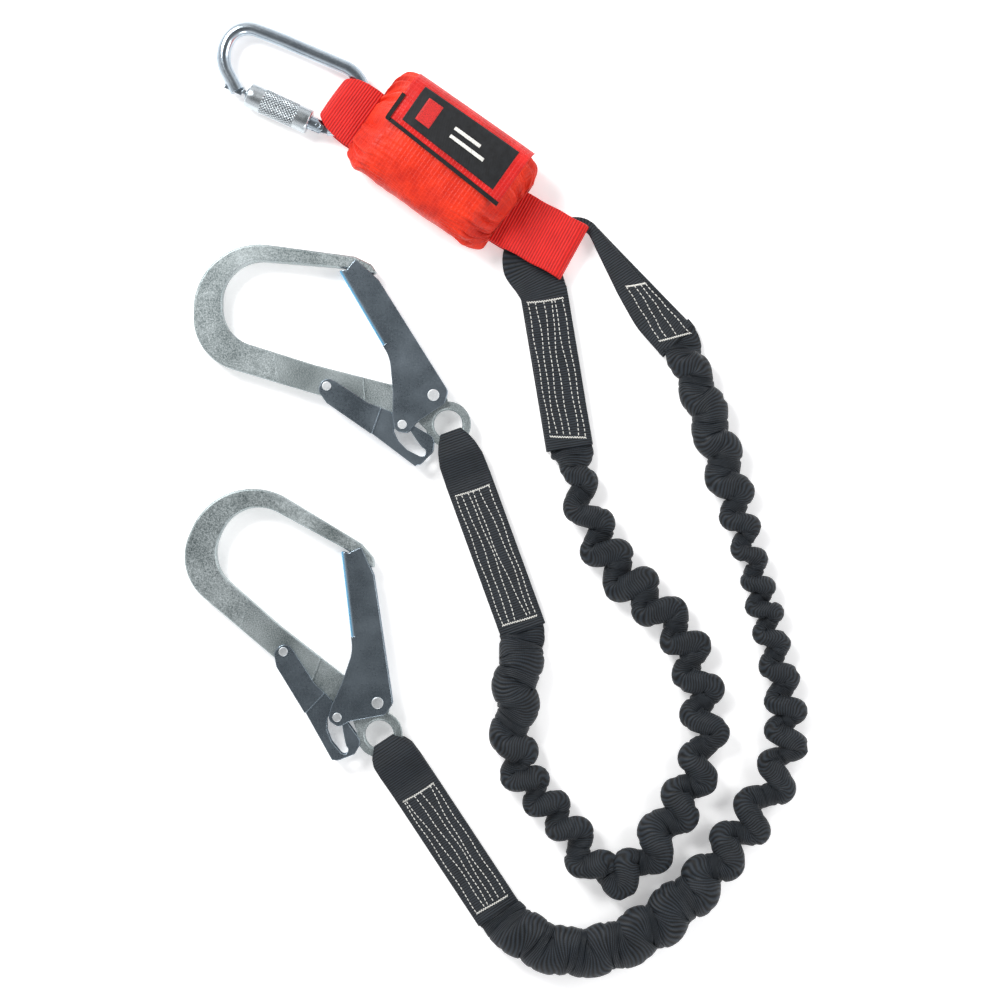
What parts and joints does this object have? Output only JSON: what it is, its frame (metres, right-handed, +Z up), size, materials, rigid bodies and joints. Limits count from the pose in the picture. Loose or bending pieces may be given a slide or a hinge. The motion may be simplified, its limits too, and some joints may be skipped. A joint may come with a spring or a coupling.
{
  "type": "shock absorbing lanyard",
  "caption": "Fall-arrest lanyard: energy-absorber pouch, elasticated webbing legs with scaffold hooks, and a twist-lock karabiner at the harness end.",
  "frame": {"origin": "on the surface that the lanyard lies on, at the middle of the flat underside of the energy absorber pouch", "axes": "+Z up, away from the surface; +Y along the lay, from the legs towards the karabiner"},
  "size_m": [0.4643, 0.71, 0.0473],
  "materials": {
    "white_thread": "waxed polyester thread",
    "tear_webbing": "woven tear webbing",
    "black_binding": "woven binding tape",
    "black_label": "woven label",
    "fastener_tape": "hook and loop tape",
    "paper_label": "printed nylon pages, blank",
    "red_ripstop": "coated ripstop",
    "red_webbing": "woven polyester webbing",
    "rubber_core": "covered elastic",
    "black_webbing": "ribbed tubular webbing",
    "knurled_steel": "zinc-plated, diamond knurl",
    "polished_zinc": "bright zinc-plated steel",
    "spring_steel": "bright wire",
    "galvanised_steel": "zinc-plated forging",
    "blue_zinc_sheet": "blue-passivated zinc sheet",
    "rivet_zinc": "bright zinc rivet"
  },
  "bodies": {
    "root": {"karabiner_loop": "red_webbing", "label_pack": "paper_label", "leg_a_absorber_stitching": "white_thread", "leg_a_absorber_strap": "black_webbing", "leg_a_elastic_core": "rubber_core", "leg_a_elastic_webbing": "black_webbing", "leg_a_hook_stitching": "white_thread", "leg_a_hook_strap": "black_webbing", "leg_b_absorber_stitching": "white_thread", "leg_b_absorber_strap": "black_webbing", "leg_b_elastic_core": "rubber_core", "leg_b_elastic_webbing": "black_webbing", "leg_b_hook_stitching": "white_thread", "leg_b_hook_strap": "black_webbing", "leg_loop": "red_webbing", "loop_tape": "fastener_tape", "pouch_end_bands": "red_ripstop", "pouch_shell": "red_ripstop", "tear_webbing_pack": "tear_webbing", "yoke_strap": "black_webbing"},
    "flap": {"flap": "red_ripstop", "flap_binding": "black_binding", "label_patch": "black_label", "hook_tape": "fastener_tape"},
    "karabiner": {"karabiner_frame": "polished_zinc", "karabiner_nose_pin": "polished_zinc", "karabiner_hinge_rivet": "polished_zinc"},
    "karabiner_gate": {"karabiner_gate": "polished_zinc", "karabiner_plunger": "polished_zinc", "karabiner_plunger_spring": "spring_steel"},
    "karabiner_sleeve": {"karabiner_sleeve": "knurled_steel", "karabiner_sleeve_spring": "spring_steel"},
    "hook_a": {"hook_a_body": "galvanised_steel", "hook_a_gate_rivet": "rivet_zinc", "hook_a_lever_rivet": "rivet_zinc", "hook_a_gate_washers": "rivet_zinc", "hook_a_gate_spring": "spring_steel"},
    "hook_a_gate": {"hook_a_gate": "blue_zinc_sheet", "hook_a_link_pin": "rivet_zinc"},
    "hook_a_lever": {"hook_a_lever": "blue_zinc_sheet"},
    "hook_b": {"hook_b_body": "galvanised_steel", "hook_b_gate_rivet": "rivet_zinc", "hook_b_lever_rivet": "rivet_zinc", "hook_b_gate_washers": "rivet_zinc", "hook_b_gate_spring": "spring_steel"},
    "hook_b_gate": {"hook_b_gate": "blue_zinc_sheet", "hook_b_link_pin": "rivet_zinc"},
    "hook_b_lever": {"hook_b_lever": "blue_zinc_sheet"}
  },
  "joints": [
    {"name": "flap_hinge", "type": "hinge", "parent": "root", "child": "flap", "pos_m": [0.02432, 0.03473, 0.0265], "axis": [-0.8192, 0.5736, 0], "range_deg": [0, 100]},
    {"name": "karabiner_swing", "type": "hinge", "parent": "root", "child": "karabiner", "pos_m": [-0.082, 0.0489, 0.0098], "axis": [0, 0, 1], "range_deg": [-12, 8]},
    {"name": "karabiner_gate_hinge", "type": "hinge", "parent": "karabiner", "child": "karabiner_gate", "pos_m": [-0.09208, 0.02679, 0.0098], "axis": [0, 0, -1], "range_deg": [0, 20], "stiffness_Nm_per_rad": 0.12},
    {"name": "karabiner_sleeve_twist", "type": "hinge", "parent": "karabiner_gate", "child": "karabiner_sleeve", "pos_m": [-0.09208, 0.02679, 0.0098], "axis": [-0.91, 0.4147, 0], "range_deg": [0, 90], "stiffness_Nm_per_rad": 0.02},
    {"name": "hook_a_swing", "type": "hinge", "parent": "root", "child": "hook_a", "pos_m": [0.0051, -0.196, 0.0094], "axis": [0, 0, 1], "range_deg": [-10, 10]},
    {"name": "hook_a_gate_hinge", "type": "hinge", "parent": "hook_a", "child": "hook_a_gate", "pos_m": [-0.00575, -0.17444, 0.0094], "axis": [0, 0, 1], "range_deg": [0, 27], "stiffness_Nm_per_rad": 0.35},
    {"name": "hook_a_lever_hinge", "type": "hinge", "parent": "hook_a", "child": "hook_a_lever", "pos_m": [-0.0853, -0.1677, 0.0094], "axis": [0, 0, 1], "range_deg": [0, 5.5]},
    {"name": "hook_b_swing", "type": "hinge", "parent": "root", "child": "hook_b", "pos_m": [-0.0461, -0.4276, 0.0094], "axis": [0, 0, 1], "range_deg": [-10, 10]},
    {"name": "hook_b_gate_hinge", "type": "hinge", "parent": "hook_b", "child": "hook_b_gate", "pos_m": [-0.04737, -0.4035, 0.0094], "axis": [0, 0, 1], "range_deg": [0, 27], "stiffness_Nm_per_rad": 0.35},
    {"name": "hook_b_lever_hinge", "type": "hinge", "parent": "hook_b", "child": "hook_b_lever", "pos_m": [-0.1175, -0.36535, 0.0094], "axis": [0, 0, 1], "range_deg": [0, 5.5]}
  ],
  "couplings": [
    {"joint": "hook_a_lever_hinge", "follows": "hook_a_gate_hinge", "ratio": 0.2},
    {"joint": "hook_b_lever_hinge", "follows": "hook_b_gate_hinge", "ratio": 0.2}
  ]
}
